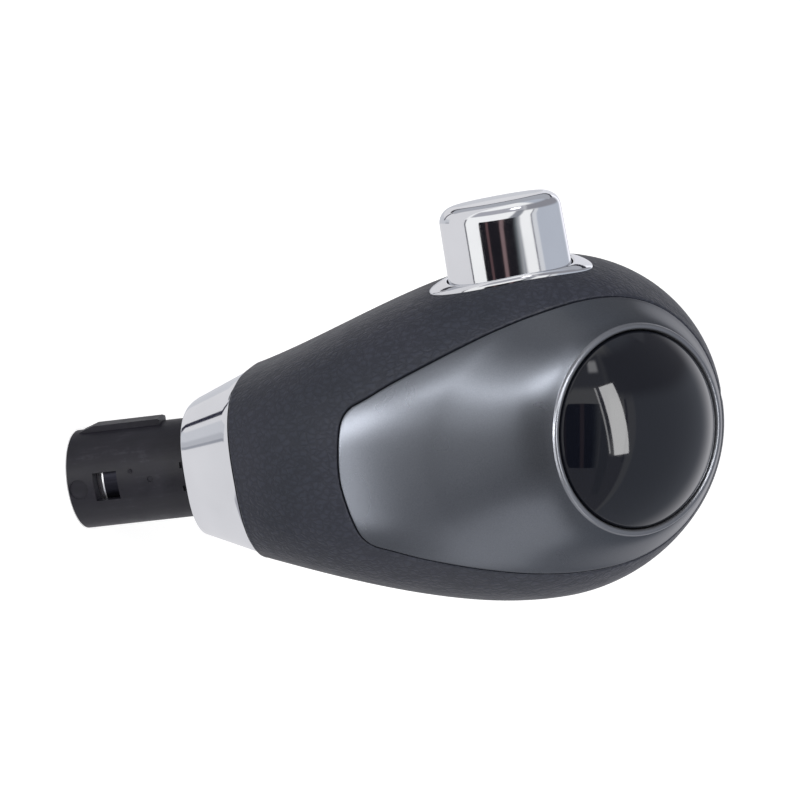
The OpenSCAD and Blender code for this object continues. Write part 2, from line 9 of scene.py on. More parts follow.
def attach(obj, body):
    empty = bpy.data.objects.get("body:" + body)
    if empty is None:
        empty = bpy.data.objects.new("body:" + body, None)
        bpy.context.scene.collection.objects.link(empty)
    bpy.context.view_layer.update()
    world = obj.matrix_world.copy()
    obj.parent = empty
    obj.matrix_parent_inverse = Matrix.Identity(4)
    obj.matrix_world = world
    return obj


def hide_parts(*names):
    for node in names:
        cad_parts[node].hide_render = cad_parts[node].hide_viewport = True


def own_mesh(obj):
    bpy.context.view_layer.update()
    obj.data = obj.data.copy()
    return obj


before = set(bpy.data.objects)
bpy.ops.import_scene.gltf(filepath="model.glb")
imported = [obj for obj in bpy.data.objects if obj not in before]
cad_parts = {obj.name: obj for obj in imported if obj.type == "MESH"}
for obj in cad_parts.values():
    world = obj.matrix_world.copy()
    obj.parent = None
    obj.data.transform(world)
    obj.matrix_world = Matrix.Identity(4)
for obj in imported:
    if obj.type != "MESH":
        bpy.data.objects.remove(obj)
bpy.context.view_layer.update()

MM = 0.001

# Camera

AZ, EL, ROLL = (math.radians(v) for v in (11.3, 16.8, 6.6))
to_cam = Vector((-math.sin(AZ) * math.cos(EL), -math.cos(AZ) * math.cos(EL), math.sin(EL)))
lift = Vector((math.sin(AZ) * math.sin(EL), math.cos(AZ) * math.sin(EL), math.cos(EL)))
side = Vector((-math.cos(AZ), math.sin(AZ), 0))
cam_right = lift * math.cos(ROLL) - side * math.sin(ROLL)
cam_up = lift * math.sin(ROLL) + side * math.cos(ROLL)


def frame_matrix(at, x, y, z):
    """Placement at a point, with the axes x, y and z."""
    return Matrix.Translation(at) @ Matrix((x, y, z)).transposed().to_4x4()


# the view's shift and distance in mm; focal length and picture width in pixels
CAM_X, CAM_Y, CAM_DIST = 54.664, 13.634, 944.44
FOCAL, PICTURE, SENSOR = 5466, 800, 36
cam_data = bpy.data.cameras.new("camera")
cam = bpy.data.objects.new("camera", cam_data)
bpy.context.scene.collection.objects.link(cam)
cam_at = cam_right * CAM_X + cam_up * CAM_Y + to_cam * CAM_DIST
cam.matrix_world = frame_matrix(cam_at * MM, cam_right, cam_up, to_cam)
cam_data.sensor_width = SENSOR
cam_data.lens = FOCAL / PICTURE * SENSOR
cam_data.clip_start = 0.01
cam_data.clip_end = 20
bpy.context.scene.camera = cam

# Head form, in mm

# heights, half widths and depths, slopes and squareness at the neck, the widest place and the top
NECK_Z, NECK_W, NECK_D, NECK_Y, NECK_N = 33.2, 15.95, 17.65, -0.3, 2.8
TOP_Z = 112.3
WIDE_Z, HEAD_W, SIDE_SLOPE = TOP_Z - 28.9, 28.7, 0.262
FRONT_Z, FRONT_D, FRONT_SLOPE = TOP_Z - 43.8, 26.4, 0.612
BACK_Z, BACK_D, BACK_SLOPE = TOP_Z - 22.4, 26.5, 0.11
POLE_Y, HEAD_N = 5.57, 2.33
SEAM_GAP = 0.22
SKIN_T = 1.3


def cubic(z, z0, z1, v0, v1, m):
    """Hermite curve from v0 at z0 with slope m to v1 at z1, where it is level."""
    t = np.clip((z - z0) / (z1 - z0), 0, 1)
    return ((2 * t**3 - 3 * t**2 + 1) * v0 + (t**3 - 2 * t**2 + t) * (z1 - z0) * m
            + (3 * t**2 - 2 * t**3) * v1)


def fall(z, z0, z1):
    """Quarter ellipse from 1 at z0 to 0 at z1."""
    return np.sqrt(np.clip(1 - (np.clip(z - z0, 0, None) / (z1 - z0)) ** 2, 0, 1))


def section(z):
    """Half width, front, back and squareness of the form at height z."""
    w = np.where(z < WIDE_Z, cubic(z, NECK_Z, WIDE_Z, NECK_W, HEAD_W, SIDE_SLOPE),
                 HEAD_W * fall(z, WIDE_Z, TOP_Z))
    f = np.where(z < FRONT_Z,
                 cubic(z, NECK_Z, FRONT_Z, NECK_Y - NECK_D, -FRONT_D, -FRONT_SLOPE),
                 POLE_Y + (-FRONT_D - POLE_Y) * fall(z, FRONT_Z, TOP_Z))
    b = np.where(z < BACK_Z,
                 cubic(z, NECK_Z, BACK_Z, NECK_Y + NECK_D, BACK_D, BACK_SLOPE),
                 POLE_Y + (BACK_D - POLE_Y) * fall(z, BACK_Z, TOP_Z))
    n = NECK_N + (HEAD_N - NECK_N) * np.clip((z - NECK_Z) / (WIDE_Z - NECK_Z), 0, 1)
    return w, f, b, n


def level(p):
    """Below 0 inside the form, above 0 outside."""
    z = p[..., 2]
    w, f, b, n = section(z)
    w, d = np.maximum(w, 1e-6), np.maximum((b - f) / 2, 1e-6)
    g = (np.abs(p[..., 0]) / w) ** n + (np.abs(p[..., 1] - (f + b) / 2) / d) ** n
    return np.where(z > TOP_Z - 1e-4, 9.0, g ** (1 / n) - 1)


def cast(start, direction, near, far):
    """Where the line start + s * direction leaves the form, between s = near (inside) and far."""
    lo = np.full(start.shape[:-1], float(near))
    hi = np.full(start.shape[:-1], float(far))
    for _ in range(46):
        mid = (lo + hi) / 2
        out = level(start + mid[..., None] * direction) > 0
        hi = np.where(out, mid, hi)
        lo = np.where(out, lo, mid)
    return start + ((lo + hi) / 2)[..., None] * direction


def unit(v):
    return v / np.linalg.norm(v, axis=-1, keepdims=True)


def normal_at(p):
    """The form's outward normal at p."""
    h = 0.02
    return unit(np.stack([level(p + h * axis) - level(p - h * axis) for axis in np.eye(3)], -1))


def side_x(y, z):
    """Half width of the form at depth y and height z."""
    w, f, b, n = section(z)
    k = np.clip(np.abs(2 * y - f - b) / (b - f), 0, 1)
    return w * (1 - k**n) ** (1 / n)


def smooth(t):
    t = np.clip(t, 0, 1)
    return t * t * (3 - 2 * t)


def around(count):
    """Angles of a full turn, in even steps."""
    return np.linspace(0, 2 * np.pi, count, endpoint=False)


def squircle(a, b, n, ang):
    c, s = np.cos(ang), np.sin(ang)
    return np.stack([a * np.sign(c) * np.abs(c) ** (2 / n),
                     b * np.sign(s) * np.abs(s) ** (2 / n)], -1)


# Mesh helpers

def mesh_from(name, verts, faces, body, material, sharp):
    """A smooth piece on a body, with edges kept sharp above an angle in degrees."""
    me = bpy.data.meshes.new(name)
    me.from_pydata((np.asarray(verts) * MM).tolist(), [], faces)
    me.validate()
    me.update()
    obj = bpy.data.objects.new(name, me)
    bpy.context.scene.collection.objects.link(obj)
    me.polygons.foreach_set("use_smooth", [True] * len(me.polygons))
    me.set_sharp_from_angle(angle=math.radians(sharp))
    me.materials.append(material)
    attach(obj, body)
    return obj


def loft(rings, capped=False, loop=False):
    """Vertices and faces over closed rings of equal length.

    capped closes both ends with fans, loop joins the last ring to the first.
    """
    rings = [np.asarray(r, float) for r in rings]
    m, n = len(rings), len(rings[0])
    verts = np.concatenate(rings)
    faces = []
    for i in range(m if loop else m - 1):
        a, b = i * n, (i + 1) % m * n
        for j in range(n):
            k = (j + 1) % n
            faces.append((a + j, a + k, b + k, b + j))
    for ring in (0, m - 1) if capped else ():
        mid = len(verts)
        verts = np.vstack([verts, rings[ring].mean(0)])
        for j in range(n):
            k = (j + 1) % n
            f = (ring * n + k, ring * n + j, mid)
            faces.append(f if ring == 0 else f[::-1])
    return verts, faces


def turned_loft(rings, capped=False, loop=False):
    """A closed loft whose faces look outwards, which gives it a positive volume."""
    verts, faces = loft(rings, capped, loop)
    volume = 0.0
    for f in faces:
        for k in range(1, len(f) - 1):
            volume += np.dot(verts[f[0]], np.cross(verts[f[k]], verts[f[k + 1]]))
    return verts, faces if volume > 0 else [f[::-1] for f in faces]


# Dome frame

# The dome's centre, axis and upward direction, its radius and height, and the panel's lip round it.
DOME_EL = math.radians(51.9)
DOME_R, DOME_H, DOME_GAP, LIP_W = 16.4, 6.9, 0.2, 1.15
OPEN_R = DOME_R + DOME_GAP
LIP_R = OPEN_R + LIP_W
DOME_Z = TOP_Z - 10.25
DOME_SINK = 3.95
DOME_C = np.array([0, float(section(np.array(DOME_Z))[1]) + DOME_SINK, DOME_Z])
DOME_N = np.array([0, -math.cos(DOME_EL), math.sin(DOME_EL)])
DOME_UP = np.array([0, math.sin(DOME_EL), math.cos(DOME_EL)])


# Materials

def new_material(name):
    mat = bpy.data.materials.new(name)
    mat.use_nodes = True
    nt = mat.node_tree
    nt.nodes.clear()
    out = nt.nodes.new("ShaderNodeOutputMaterial")
    bsdf = nt.nodes.new("ShaderNodeBsdfPrincipled")
    nt.links.new(bsdf.outputs[0], out.inputs[0])
    return mat, nt, bsdf


def stretched(nt, coord, scale):
    mp = nt.nodes.new("ShaderNodeMapping")
    mp.inputs["Scale"].default_value = scale
    nt.links.new(coord, mp.inputs["Vector"])
    return mp.outputs[0]


def noise(nt, coord, scale, detail=3.0, rough=0.55, stretch=None):
    vec = stretched(nt, coord, stretch) if stretch else coord
    tex = nt.nodes.new("ShaderNodeTexNoise")
    tex.inputs["Scale"].default_value = scale
    tex.inputs["Detail"].default_value = detail
    tex.inputs["Roughness"].default_value = rough
    nt.links.new(vec, tex.inputs["Vector"])
    return tex.outputs["Fac"]


def ramp(nt, fac, stops):
    """Colours over a factor, from stops of (place, colour)."""
    r = nt.nodes.new("ShaderNodeValToRGB")
    els = r.color_ramp.elements
    while len(els) < len(stops):
        els.new(0.5)
    for el, (pos, col) in zip(els, stops):
        el.position = pos
        el.color = (*col, 1)
    nt.links.new(fac, r.inputs[0])
    return r.outputs[0]


def remap(nt, fac, lo, hi, a=0.3, b=0.7):
    """The range a to b becomes lo to hi."""
    r = nt.nodes.new("ShaderNodeMapRange")
    r.inputs["From Min"].default_value = a
    r.inputs["From Max"].default_value = b
    r.inputs["To Min"].default_value = lo
    r.inputs["To Max"].default_value = hi
    nt.links.new(fac, r.inputs[0])
    return r.outputs[0]


def bump(nt, height, distance, strength=1.0, below=None):
    b = nt.nodes.new("ShaderNodeBump")
    b.inputs["Distance"].default_value = distance
    b.inputs["Strength"].default_value = strength
    nt.links.new(height, b.inputs["Height"])
    if below is not None:
        nt.links.new(below, b.inputs["Normal"])
    return b.outputs[0]


def mix_colour(nt, fac, first, second, blend="MIX"):
    """Blend of two colours; each input is a socket or a value."""
    mix = nt.nodes.new("ShaderNodeMix")
    mix.data_type = "RGBA"
    mix.blend_type = blend
    sockets = (mix.inputs["Factor"], mix.inputs[6], mix.inputs[7])
    for socket, value in zip(sockets, (fac, first, second)):
        if isinstance(value, bpy.types.NodeSocket):
            nt.links.new(value, socket)
        elif isinstance(value, tuple):
            socket.default_value = (*value, 1)
        else:
            socket.default_value = value
    return mix.outputs[2]


def vector_math(nt, kind, *values):
    """Vector operation over sockets or values; its first output and its value output."""
    node = nt.nodes.new("ShaderNodeVectorMath")
    node.operation = kind
    for socket, value in zip(node.inputs, values):
        if isinstance(value, bpy.types.NodeSocket):
            nt.links.new(value, socket)
        else:
            socket.default_value = value
    return node.outputs


def object_coord(nt):
    return nt.nodes.new("ShaderNodeTexCoord").outputs["Object"]


def plain(name, dark, light, rough, metallic, grain, bump_mm, spread=0.06):
    """A moulded, turned or plated surface: colour and gloss vary a little over fine noise."""
    mat, nt, bsdf = new_material(name)
    co = object_coord(nt)
    broad = noise(nt, co, grain * 0.12, 2.0)
    fine = noise(nt, co, grain, 3.0)
    nt.links.new(ramp(nt, broad, [(0.3, dark), (0.7, light)]), bsdf.inputs["Base Color"])
    nt.links.new(remap(nt, fine, rough - spread, rough + spread), bsdf.inputs["Roughness"])
    if bump_mm:
        nt.links.new(bump(nt, fine, bump_mm * MM), bsdf.inputs["Normal"])
    bsdf.inputs["Metallic"].default_value = metallic
    return mat


def leather_material():
    """Dyed leather: grain cells of about a millimetre, soft folds along the head, fine pores."""
    mat, nt, bsdf = new_material("leather_black")
    co = object_coord(nt)
    # the cells are stretched along the head as on wrapped leather, and their edges wander
    wander = nt.nodes.new("ShaderNodeTexNoise")
    wander.inputs["Scale"].default_value = 900
    nt.links.new(co, wander.inputs["Vector"])
    warped = vector_math(nt, "MULTIPLY_ADD", wander.outputs["Color"], (0.0011, 0.0011, 0.0011),
                         stretched(nt, co, (1, 1, 0.62)))[0]
    cell = nt.nodes.new("ShaderNodeTexVoronoi")
    cell.feature = "DISTANCE_TO_EDGE"
    cell.inputs["Scale"].default_value = 1000
    nt.links.new(warped, cell.inputs["Vector"])
    pores = remap(nt, cell.outputs["Distance"], 0.0, 1.0, 0.0, 0.3)
    fine = noise(nt, co, 3800, 2.0)
    folds = noise(nt, co, 520, 3.0, 0.6, (1.0, 1.0, 0.45))
    broad = noise(nt, co, 60, 2.0)
    col = ramp(nt, broad, [(0.3, (0.0135, 0.0162, 0.0250)), (0.7, (0.0210, 0.0228, 0.0340))])
    shade = ramp(nt, pores, [(0.0, (0.66, 0.66, 0.68)), (1.0, (1.08, 1.08, 1.08))])
    nt.links.new(mix_colour(nt, 1.0, col, shade, "MULTIPLY"), bsdf.inputs["Base Color"])
    nt.links.new(remap(nt, folds, 0.46, 0.58), bsdf.inputs["Roughness"])
    n1 = bump(nt, folds, 0.12 * MM, 0.8)
    n2 = bump(nt, pores, 0.06 * MM, 0.85, n1)
    n3 = bump(nt, fine, 0.015 * MM, 0.6, n2)
    nt.links.new(n3, bsdf.inputs["Normal"])
    bsdf.inputs["Specular IOR Level"].default_value = 0.32
    bsdf.inputs["Sheen Weight"].default_value = 0.04
    bsdf.inputs["Sheen Roughness"].default_value = 0.4
    return mat


def panel_material():
    """Satin grey metallic paint with a fine flake."""
    mat, nt, bsdf = new_material("panel_satin")
    co = object_coord(nt)
    flake = noise(nt, co, 5200, 2.0, 0.7)
    broad = noise(nt, co, 90, 2.0)
    col = ramp(nt, flake, [(0.3, (0.050, 0.054, 0.063)), (0.7, (0.064, 0.069, 0.080))])
    # the lip round the dome is coloured lighter, a painted highlight
    away = vector_math(nt, "SUBTRACT", co, (DOME_C * MM).tolist())[0]
    turned = vector_math(nt, "CROSS_PRODUCT", away, DOME_N.tolist())[0]
    radius = vector_math(nt, "LENGTH", turned)["Value"]
    lip = remap(nt, radius, 1.0, 0.0, (LIP_R - 0.08) * MM, (LIP_R + 0.06) * MM)
    nt.links.new(mix_colour(nt, lip, col, (0.145, 0.15, 0.165)), bsdf.inputs["Base Color"])
    nt.links.new(remap(nt, broad, 0.27, 0.30), bsdf.inputs["Roughness"])
    nt.links.new(bump(nt, flake, 0.004 * MM, 0.5), bsdf.inputs["Normal"])
    bsdf.inputs["Metallic"].default_value = 0.75
    return mat


def dome_material():
    """Glossy black plastic, nearly without texture."""
    mat, nt, bsdf = new_material("dome_gloss")
    co = object_coord(nt)
    broad = noise(nt, co, 60, 2.0)
    col = ramp(nt, broad, [(0.3, (0.0032, 0.0040, 0.0070)), (0.7, (0.0045, 0.0052, 0.0085))])
    nt.links.new(col, bsdf.inputs["Base Color"])
    nt.links.new(remap(nt, noise(nt, co, 800, 2.0), 0.035, 0.06), bsdf.inputs["Roughness"])
    bsdf.inputs["IOR"].default_value = 1.5
    return mat


def stem_material():
    """Moulded black plastic with a mottled skin and faint handling streaks along it."""
    mat, nt, bsdf = new_material("stem_black")
    co = object_coord(nt)
    blotch = noise(nt, co, 260, 4.0, 0.7)
    streak = noise(nt, co, 900, 3.0, 0.65, (1.0, 1.0, 0.12))
    fine = noise(nt, co, 2600, 2.0)
    tone = nt.nodes.new("ShaderNodeMath")
    tone.operation = "MULTIPLY"
    nt.links.new(remap(nt, blotch, 0.35, 1.0, 0.35, 0.68), tone.inputs[0])
    nt.links.new(remap(nt, streak, 0.5, 1.0, 0.35, 0.7), tone.inputs[1])
    col = ramp(nt, tone.outputs[0], [(0.15, (0.0048, 0.0046, 0.0078)),
                                     (0.6, (0.0085, 0.0080, 0.0125)),
                                     (1.0, (0.026, 0.025, 0.032))])
    nt.links.new(col, bsdf.inputs["Base Color"])
    nt.links.new(remap(nt, blotch, 0.38, 0.56), bsdf.inputs["Roughness"])
    n1 = bump(nt, blotch, 0.03 * MM, 0.7)
    n2 = bump(nt, streak, 0.012 * MM, 0.6, n1)
    nt.links.new(bump(nt, fine, 0.008 * MM, 0.6, n2), bsdf.inputs["Normal"])
    bsdf.inputs["Specular IOR Level"].default_value = 0.3
    return mat


# the lower end of the sleeve, and how far up from it the painted highlight runs
SLEEVE_Z, SLEEVE_HIGHLIGHT = 5.1, 0.95


def sleeve_material():
    """Drawn steel, coloured near black as painted shade; its lower end is coloured bright as a
    painted highlight.
    """
    mat, nt, bsdf = new_material("sleeve_steel")
    co = object_coord(nt)
    split = nt.nodes.new("ShaderNodeSeparateXYZ")
    nt.links.new(co, split.inputs[0])
    drawn = noise(nt, co, 1500, 3.0, 0.6, (1.0, 1.0, 0.1))
    # painted shade: the steel is coloured near black
    skin = ramp(nt, drawn, [(0.3, (0.014, 0.014, 0.019)), (0.7, (0.026, 0.026, 0.034))])
    end = (SLEEVE_Z + SLEEVE_HIGHLIGHT) * MM
    # painted highlight: the lower end is coloured bright
    end_highlight = remap(nt, split.outputs[2], 1.0, 0.0, end - 0.05 * MM, end + 0.05 * MM)
    nt.links.new(mix_colour(nt, end_highlight, skin, (0.93, 0.93, 0.95)), bsdf.inputs["Base Color"])
    nt.links.new(remap(nt, drawn, 0.3, 0.4), bsdf.inputs["Roughness"])
    bsdf.inputs["Metallic"].default_value = 1.0
    return mat


# plain: darkest and lightest colour, roughness, metal, grain scale, bump in mm, spread of roughness
M = {
    "leather": leather_material(),
    "thread": plain("seam_thread", (0.016, 0.017, 0.021), (0.030, 0.031, 0.036),
                    0.62, 0, 3000, 0.03),
    "panel_paint": panel_material(),
    "dome_gloss": dome_material(),
    "chrome_trim": plain("chrome", (0.80, 0.81, 0.83), (0.86, 0.87, 0.89),
                         0.07, 1.0, 700, 0.0, 0.015),
    "stem_plastic": stem_material(),
    "core_plastic": plain("core_grey", (0.045, 0.047, 0.053), (0.058, 0.06, 0.066),
                          0.55, 0, 700, 0.02),
    "guide_plastic": plain("guide_grey", (0.055, 0.057, 0.065), (0.07, 0.072, 0.08),
                           0.5, 0, 700, 0.02),
    "slider_plastic": plain("slider_black", (0.017, 0.017, 0.02), (0.025, 0.025, 0.028),
                            0.38, 0, 700, 0.01),
    "sleeve_steel": sleeve_material(),
    "spring_steel": plain("spring_steel", (0.55, 0.56, 0.58), (0.66, 0.67, 0.69),
                          0.26, 1.0, 1400, 0.004),
    "screw_steel": plain("screw_zinc", (0.38, 0.39, 0.41), (0.48, 0.49, 0.51),
                         0.34, 1.0, 1400, 0.004),
    "bush_brass": plain("bush_brass", (0.66, 0.50, 0.22), (0.78, 0.60, 0.28),
                        0.28, 1.0, 1200, 0.004),
    "plunger_plastic": plain("acetal", (0.68, 0.66, 0.60), (0.75, 0.73, 0.67), 0.42, 0, 800, 0.01),
    "damper_rubber": plain("rubber", (0.024, 0.024, 0.024), (0.036, 0.036, 0.036),
                           0.7, 0, 900, 0.02),
}

NODE_SLOT = {
    "stem_housing": "stem_plastic", "lever_sleeve": "sleeve_steel", "core_front": "core_plastic",
    "core_back": "core_plastic", "dome_backing": "slider_plastic", "button_guide": "guide_plastic",
    "guide_screws": "screw_steel", "core_screws": "screw_steel", "button_damper": "damper_rubber",
    "rod_bush": "bush_brass", "button_slider": "slider_plastic", "plunger_head": "plunger_plastic",
    "plunger_rod": "sleeve_steel", "spring_washer": "spring_steel",
}
for node, look in NODE_SLOT.items():
    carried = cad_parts[node]
    if carried.material_slots:
        for place in carried.material_slots:
            place.material = M[look]
    else:
        carried.data.materials.append(M[look])

# Panel outline

# The panel's edge is drawn as seen along PRESS, as (place along the face, half width) in mm.
EX = np.array([1.0, 0, 0])
PANEL_EL = math.radians(30)
PRESS = np.array([0, -math.cos(PANEL_EL), math.sin(PANEL_EL)])
ALONG = np.array([0, math.sin(PANEL_EL), math.cos(PANEL_EL)])
OUTLINE = [(34, 0), (34.35, 4), (35.2, 8), (36.1, 10.2), (37.6, 11.8), (40, 12.9), (44, 14.75),
           (50, 17.05), (56, 19.05), (62, 20.7), (68, 21.85), (74, 22.45), (78, 22.5), (82, 22.1),
           (86, 21.1), (90, 19.3), (93.5, 16.8), (96.5, 13.5), (98.7, 9.7), (100.1, 5.2),
           (100.6, 0)]


def lengths(line):
    """Length along a line of points, from 0 at its start."""
    return np.concatenate([[0], np.cumsum(np.linalg.norm(np.diff(line, axis=0), axis=1))])


def even_steps(curve, count):
    """Points at even steps along a closed curve."""
    c = np.vstack([curve, curve[:1]])
    s = lengths(c)
    at = np.linspace(0, s[-1], count, endpoint=False)
    return np.stack([np.interp(at, s, c[:, k]) for k in range(2)], -1)


def closed_spline(points, count):
    """Centripetal Catmull-Rom through closed points, sampled evenly by length: (count, 2)."""
    p = np.asarray(points, float)
    n = len(p)
    out = []
    for i in range(n):
        a, b, c, d = p[i - 1], p[i], p[(i + 1) % n], p[(i + 2) % n]
        t1 = np.linalg.norm(b - a) ** 0.5
        t2 = t1 + np.linalg.norm(c - b) ** 0.5
        t3 = t2 + np.linalg.norm(d - c) ** 0.5
        t = np.linspace(t1, t2, 40, endpoint=False)[:, None]
        a1 = (t1 - t) / t1 * a + t / t1 * b
        a2 = (t2 - t) / (t2 - t1) * b + (t - t1) / (t2 - t1) * c
        a3 = (t3 - t) / (t3 - t2) * c + (t - t2) / (t3 - t2) * d
        b1 = (t2 - t) / t2 * a1 + t / t2 * a2
        b2 = (t3 - t) / (t3 - t1) * a2 + (t - t1) / (t3 - t1) * a3
        out.append((t2 - t) / (t2 - t1) * b1 + (t - t1) / (t2 - t1) * b2)
    return even_steps(np.concatenate(out), count)


def outline_curve(grow, count):
    """The panel's outline as (x, place along the face), grown outwards by grow."""
    half = [(w, p) for p, w in OUTLINE]
    pts = half + [(-w, p) for w, p in half[-2:0:-1]]
    c = closed_spline(pts, 1200)
    tangent = unit(np.roll(c, -1, 0) - np.roll(c, 1, 0))
    return even_steps(c + grow * np.stack([tangent[:, 1], -tangent[:, 0]], -1), count)


def on_face(xp):
    """The point of the form that is seen at (x, place along the face) from the panel's front."""
    start = xp[..., :1] * EX + xp[..., 1:] * ALONG
    return cast(start, PRESS, 38, 90)


def face_xp(p):
    """(x, place along the face) of points."""
    return np.stack([p[..., 0], p @ ALONG], -1)


def dome_polar(p):
    """Distance of points from the dome's axis, and how far they lie below it, from -1 to 1."""
    d = p - DOME_C
    q = d - (d @ DOME_N)[..., None] * DOME_N
    r = np.linalg.norm(q, axis=-1)
    return r, -(q @ DOME_UP) / np.maximum(r, 1e-6)


# Front panel

def edge_frame(edge):
    """Surface normals and outward directions along a closed edge on the form."""
    nrm = normal_at(edge)
    out = unit(np.cross(unit(np.roll(edge, -1, 0) - np.roll(edge, 1, 0)), nrm))
    if np.mean(np.sum(out * (edge - edge.mean(0)), axis=1)) < 0:
        out = -out
    return nrm, out


LIP_H, PANEL_T, PANEL_ROUND = -0.42, 1.3, 0.22
# how far the rise to the lip reaches out at the dome's sides, and what is added below and above
REACH_SIDE, REACH_LOW, REACH_HIGH = 4.5, 9.5, -2.25


def dome_ring(ang):
    """Directions round the dome's axis, from straight below it."""
    return -np.cos(ang)[:, None] * DOME_UP + np.sin(ang)[:, None] * EX


def lip_fade(p):
    """How far the panel still rises to the lip at p; below the dome it rises over a longer way."""
    r, c = dome_polar(p)
    reach = REACH_SIDE + np.where(c > 0, REACH_LOW * c * c, REACH_HIGH * -c)
    return 1 - smooth((r - LIP_R) / reach)


def bearing(xp, centre):
    """Direction of points on the face from the centre, from 0 straight below it."""
    return np.arctan2(xp[:, 0] - centre[0], centre[1] - xp[:, 1]) % (2 * np.pi)


def build_panel():
    """Skin from the lip to the outline, its rounded edge and side, its underside, and the lip."""
    ring_dir = dome_ring(around(360))
    under = cast(DOME_C + LIP_R * ring_dir, DOME_N, -20, 12)
    rise = LIP_H - (under - DOME_C) @ DOME_N
    base_in = face_xp(under)
    centre = np.array([0, DOME_C @ ALONG])
    # outline at the same direction as each lip point
    curve = outline_curve(0, 2400)
    ang = bearing(curve, centre)
    order = np.argsort(ang)
    ang = np.concatenate([ang[order] + turn for turn in (-2 * np.pi, 0, 2 * np.pi)])
    curve = np.concatenate([curve[order]] * 3)
    want = bearing(base_in, centre)
    edge = on_face(np.stack([np.interp(want, ang, curve[:, k]) for k in range(2)], -1))
    nrm, out = edge_frame(edge)
    inset = face_xp(edge - out * PANEL_ROUND)
    steps = np.linspace(0, 1, 91) ** 1.15
    outer = []
    for k in steps:
        p = on_face(base_in + (inset - base_in) * k)
        settled = 1 - smooth((k - 0.85) / 0.15)
        outer.append(p + (rise * lip_fade(p) * settled)[:, None] * DOME_N)
    # rounded edge and side wall
    for a in np.radians([15, 35, 55, 75, 90]):
        outer.append(edge - out * PANEL_ROUND * (1 - math.sin(a))
                     - nrm * PANEL_ROUND * (1 - math.cos(a)))
    outer.append(edge - nrm * PANEL_T)
    # underside back to the lip, and the lip's own profile as (radius, height)
    inner = []
    for k in steps[::-6]:
        p = on_face(base_in + (inset - base_in) * k)
        inner.append(p + (rise * lip_fade(p))[:, None] * DOME_N - normal_at(p) * PANEL_T)
    lip = [(LIP_R + 0.6, -2.2), (LIP_R + 0.2, -3.4), (OPEN_R, -3.4), (OPEN_R, -0.35),
           (OPEN_R + 0.05, -0.12), (OPEN_R + 0.17, 0.06), (OPEN_R + 0.36, 0.17),
           (OPEN_R + 0.58, 0.2), (OPEN_R + 0.79, 0.15), (OPEN_R + 0.95, 0.03),
           (OPEN_R + 1.05, -0.14), (OPEN_R + 1.09, -0.34)]
    lip_rings = [DOME_C + r * ring_dir + h * DOME_N for r, h in lip]
    verts, faces = turned_loft(outer + inner + lip_rings, loop=True)
    obj = mesh_from("front_panel_skin", verts, faces, "knob", M["panel_paint"], 50)
    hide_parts("front_panel")
    return obj


# Leather

# The button's centre and tilt, the trim ring's half sizes and squareness, the slider bar's axis.
BTN_Y, BTN_Z, BTN_TILT = -3.0, TOP_Z - 29.8, math.radians(22)
RING_A, RING_B, BTN_N = 13.9, 7.1, 2.3
RING_N = BTN_N - 0.3
BAR_Y, BAR_Z = -1.1, TOP_Z - 30.7
COVER_ROUND, NECK_ROUND, HOLE_GAP = 0.32, 0.7, 0.1


def button_local(p):
    """Places along and across the button."""
    y, z = p[..., 1] - BTN_Y, p[..., 2] - BTN_Z
    return np.stack([y * math.sin(BTN_TILT) + z * math.cos(BTN_TILT),
                     y * math.cos(BTN_TILT) - z * math.sin(BTN_TILT)], -1)


def button_yz(local):
    """The y and z of places along and across the button."""
    a, b = local[..., 0], local[..., 1]
    return (BTN_Y + b * math.cos(BTN_TILT) + a * math.sin(BTN_TILT),
            BTN_Z - b * math.sin(BTN_TILT) + a * math.cos(BTN_TILT))


def tau_of(z):
    """A measure of height that runs evenly over the head's crown."""
    k = (z - WIDE_Z) / (TOP_Z - WIDE_Z)
    return np.where(k > 0, np.arcsin(np.clip(k, -1, 1)), k)


def z_of(tau):
    return WIDE_Z + (TOP_Z - WIDE_Z) * np.where(tau > 0, np.sin(np.minimum(tau, np.pi / 2)), tau)


def polar_point(phi, tau):
    """The form's point at an angle round it and a crown height."""
    z = z_of(tau)
    w, f, b, n = section(z)
    c, s = np.abs(np.cos(phi)), np.abs(np.sin(phi))
    d = (b - f) / 2
    r = ((c / np.maximum(w, 1e-6)) ** n + (s / np.maximum(d, 1e-6)) ** n) ** (-1 / n)
    return np.stack([r * np.cos(phi), (f + b) / 2 + r * np.sin(phi), z], -1)


def to_polar(p):
    _, f, b, _ = section(p[..., 2])
    return np.arctan2(p[..., 1] - (f + b) / 2, p[..., 0]), tau_of(p[..., 2])


# The cover is closed by a seam up the middle of the back and over the top to the panel.
SEAM_HUB = np.array([0, 0, 75.0])
SEAM_FROM, SEAM_TO = math.radians(-66.5), math.radians(97)
STITCH_TO = math.radians(58)
# depth of its groove where it is sewn and where it is only folded, and of each row of stitches
SEAM_DEEP, SEAM_PLAIN, ROW_DEEP = 0.42, 0.12, 0.16
SEAM_HALF, ROW_HALF, STITCH_AWAY = 0.5, 0.55, 2.1


def seam_point(x, ang):
    """Points of the form at x, seen from the hub at an angle up from straight back."""
    direction = np.stack([np.zeros_like(ang), np.cos(ang), np.sin(ang)], -1)
    return cast(np.broadcast_to(SEAM_HUB + x * EX, direction.shape), direction, 8, 60)


def seam_sink(p):
    """How deep the seam draws the cover in at p."""
    ang = np.arctan2(p[:, 2] - SEAM_HUB[2], p[:, 1])
    on = smooth((ang - SEAM_FROM + 0.05) / 0.05) * smooth((SEAM_TO + 0.12 - ang) / 0.05)
    sewn = smooth((STITCH_TO + 0.08 - ang) / 0.16)
    deep = SEAM_PLAIN + (SEAM_DEEP - SEAM_PLAIN) * sewn
    groove = np.exp(-(p[:, 0] / SEAM_HALF) ** 2) * deep
    rows = np.exp(-((np.abs(p[:, 0]) - STITCH_AWAY) / ROW_HALF) ** 2) * ROW_DEEP
    return on * (groove + rows * sewn)


